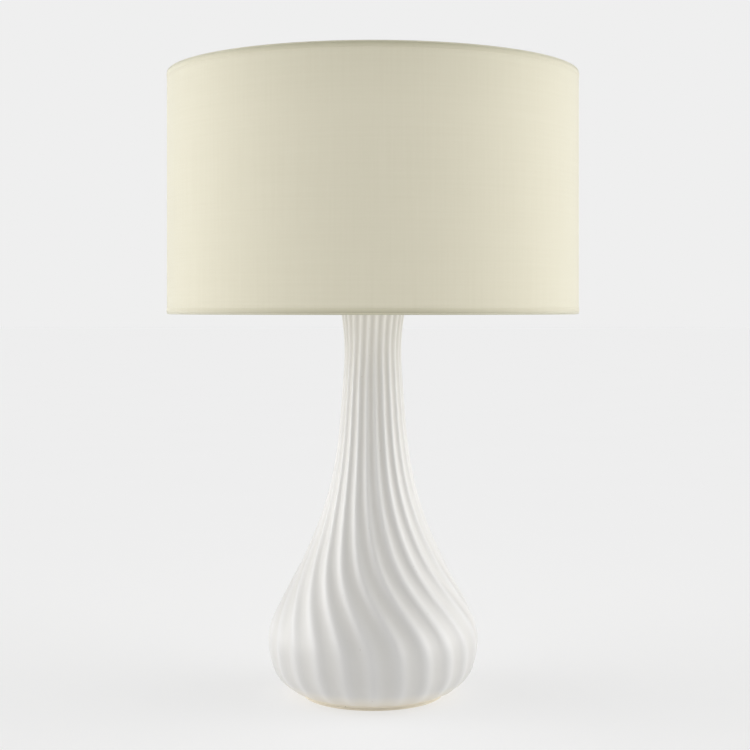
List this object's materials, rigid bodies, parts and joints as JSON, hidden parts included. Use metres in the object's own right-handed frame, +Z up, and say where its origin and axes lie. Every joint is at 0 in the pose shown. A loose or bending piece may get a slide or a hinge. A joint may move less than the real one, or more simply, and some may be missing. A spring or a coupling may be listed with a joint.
{
  "type": "table lamp",
  "caption": "Table lamp: a gourd-shaped ceramic base with flutes that twist as they rise, under a plain cream drum shade held by a harp and finial.",
  "frame": {"origin": "centre of the felt pad's underside, where the lamp rests", "axes": "+Z up the pipe; the front of the lamp, with the switch knob, faces -Y; +X is to the right"},
  "size_m": [0.4062, 0.4062, 0.6226],
  "materials": {
    "glaze": "glossy off-white glaze over twisted flutes",
    "felt": "pressed wool felt, natural beige",
    "rubber_seal": "black moulded rubber",
    "insulating_bush": "black moulded nylon",
    "zinc_steel": "zinc plated",
    "brass": "satin lacquered brass",
    "polished_brass": "polished brass",
    "card": "fibre card insulator",
    "phenolic": "black phenolic moulding",
    "knob": "black moulded knob",
    "bulb_white": "white bulb housing",
    "bulb_opal": "opal diffuser",
    "bulb_base": "nickel-plated rolled base",
    "bulb_glass": "black insulator",
    "solder": "solder tip",
    "board": "white-masked aluminium board",
    "frame_wire": "white coated wire",
    "liner": "translucent styrene liner",
    "shade_cloth": "cream woven cloth laminated to the liner",
    "hem_cloth": "cream cloth folded over the ring"
  },
  "bodies": {
    "root": {"felt_pad": "felt", "ceramic_body": "glaze", "cord_bushing": "insulating_bush", "bottom_gasket": "rubber_seal", "bottom_plate": "zinc_steel", "plate_bushing": "insulating_bush", "bottom_lock_washer": "zinc_steel", "bottom_nut": "zinc_steel", "lamp_pipe": "zinc_steel", "pipe_end_bushing": "insulating_bush", "neck_washer": "rubber_seal", "neck_cap": "brass", "harp_saddle": "brass", "saddle_nut": "zinc_steel", "socket_cap": "brass", "socket_set_screw": "zinc_steel", "socket_shell": "brass", "socket_insulator": "card", "switch_body": "phenolic", "terminal_screws": "brass", "screw_shell": "brass", "centre_contact": "brass"},
    "switch": {"switch_shaft": "zinc_steel", "turn_knob": "knob"},
    "bulb_tip": {"bulb_tip_contact": "solder"},
    "bulb": {"bulb_insulator": "bulb_glass", "bulb_screw_base": "bulb_base", "bulb_housing": "bulb_white", "bulb_led_board": "board", "bulb_diffuser": "bulb_opal"},
    "harp": {"harp_bail": "polished_brass"},
    "sleeve_left": {"harp_sleeve_left": "polished_brass"},
    "sleeve_right": {"harp_sleeve_right": "polished_brass"},
    "stud": {"harp_stud": "polished_brass"},
    "shade": {"spider_hub": "frame_wire", "spider_arm_rear": "frame_wire", "spider_arm_left": "frame_wire", "spider_arm_right": "frame_wire", "top_ring": "frame_wire", "bottom_ring": "frame_wire", "shade_liner": "liner", "shade_fabric": "shade_cloth", "top_hem": "hem_cloth", "bottom_hem": "hem_cloth", "shade_seam": "shade_cloth"},
    "finial_bush": {"finial_thread_bush": "brass"},
    "finial": {"finial_knob": "polished_brass"}
  },
  "joints": [
    {"name": "switch_turn", "type": "hinge", "parent": "root", "child": "switch", "pos_m": [0, 0, 0.43], "axis": [0, -1, 0], "continuous": true},
    {"name": "bulb_rise", "type": "slide", "parent": "root", "child": "bulb_tip", "axis": [0, 0, 1], "range_m": [0, 0.0236]},
    {"name": "bulb_turn", "type": "hinge", "parent": "bulb_tip", "child": "bulb", "pos_m": [0, 0, 0.4412], "axis": [0, 0, 1], "range_deg": [0, 2340]},
    {"name": "harp_lift", "type": "slide", "parent": "root", "child": "harp", "axis": [0, 0, 1], "range_m": [0, 0.06]},
    {"name": "sleeve_left_lift", "type": "slide", "parent": "harp", "child": "sleeve_left", "axis": [0, 0, 1], "range_m": [0, 0.014]},
    {"name": "sleeve_right_lift", "type": "slide", "parent": "harp", "child": "sleeve_right", "axis": [0, 0, 1], "range_m": [0, 0.014]},
    {"name": "shade_swivel", "type": "hinge", "parent": "harp", "child": "stud", "pos_m": [0, 0, 0.594], "axis": [0, 0, 1], "continuous": true},
    {"name": "shade_lift", "type": "slide", "parent": "stud", "child": "shade", "axis": [0, 0, 1], "range_m": [0, 0.25]},
    {"name": "finial_rise", "type": "slide", "parent": "shade", "child": "finial_bush", "axis": [0, 0, 1], "range_m": [0, 0.00799]},
    {"name": "finial_turn", "type": "hinge", "parent": "finial_bush", "child": "finial", "pos_m": [0, 0, 0.6005], "axis": [0, 0, 1], "range_deg": [0, 3060]}
  ],
  "couplings": [
    {"joint": "bulb_rise", "follows": "bulb_turn", "m_per_rad": 0.00057757},
    {"joint": "finial_turn", "follows": "finial_rise", "rad_per_m": 6684.2}
  ]
}
